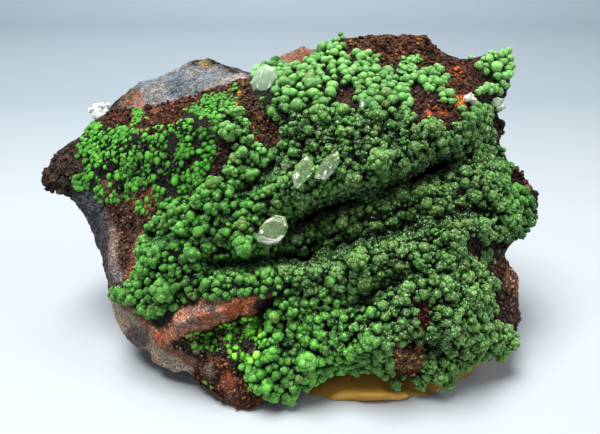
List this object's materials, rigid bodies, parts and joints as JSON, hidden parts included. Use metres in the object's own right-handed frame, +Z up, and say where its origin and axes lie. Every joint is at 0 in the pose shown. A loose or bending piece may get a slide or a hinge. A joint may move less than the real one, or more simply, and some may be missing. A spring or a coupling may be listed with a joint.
{
  "type": "conichalcite specimen",
  "caption": "Slab of brown gossan with a bubbly green conichalcite crust and small clear calcite crystals, leaning back on an oval pad of putty; a display mineral specimen.",
  "frame": {"origin": "on the surface it stands on, under the middle of the whole part", "axes": "+X along the slab to the viewer's right, +Y towards the back of the slab, +Z up"},
  "size_m": [0.0676, 0.0374, 0.0415],
  "materials": {
    "gossan": "rough, dark brown with rust and grey",
    "conichalcite": "sparkling, satin, finely bumpy",
    "calcite": "clear, glossy",
    "putty": "smooth, satin"
  },
  "bodies": {
    "root": {"gossan_matrix": "gossan", "conichalcite_crust": "conichalcite", "calcite_crystal_1": "calcite", "calcite_crystal_2": "calcite", "calcite_crystal_3": "calcite", "calcite_crystal_4": "calcite", "calcite_crystal_5": "calcite", "calcite_crystal_6": "calcite", "calcite_crystal_7": "calcite", "calcite_crystal_8": "calcite", "calcite_crystal_9": "calcite", "putty_pad": "putty"}
  },
  "joints": []
}
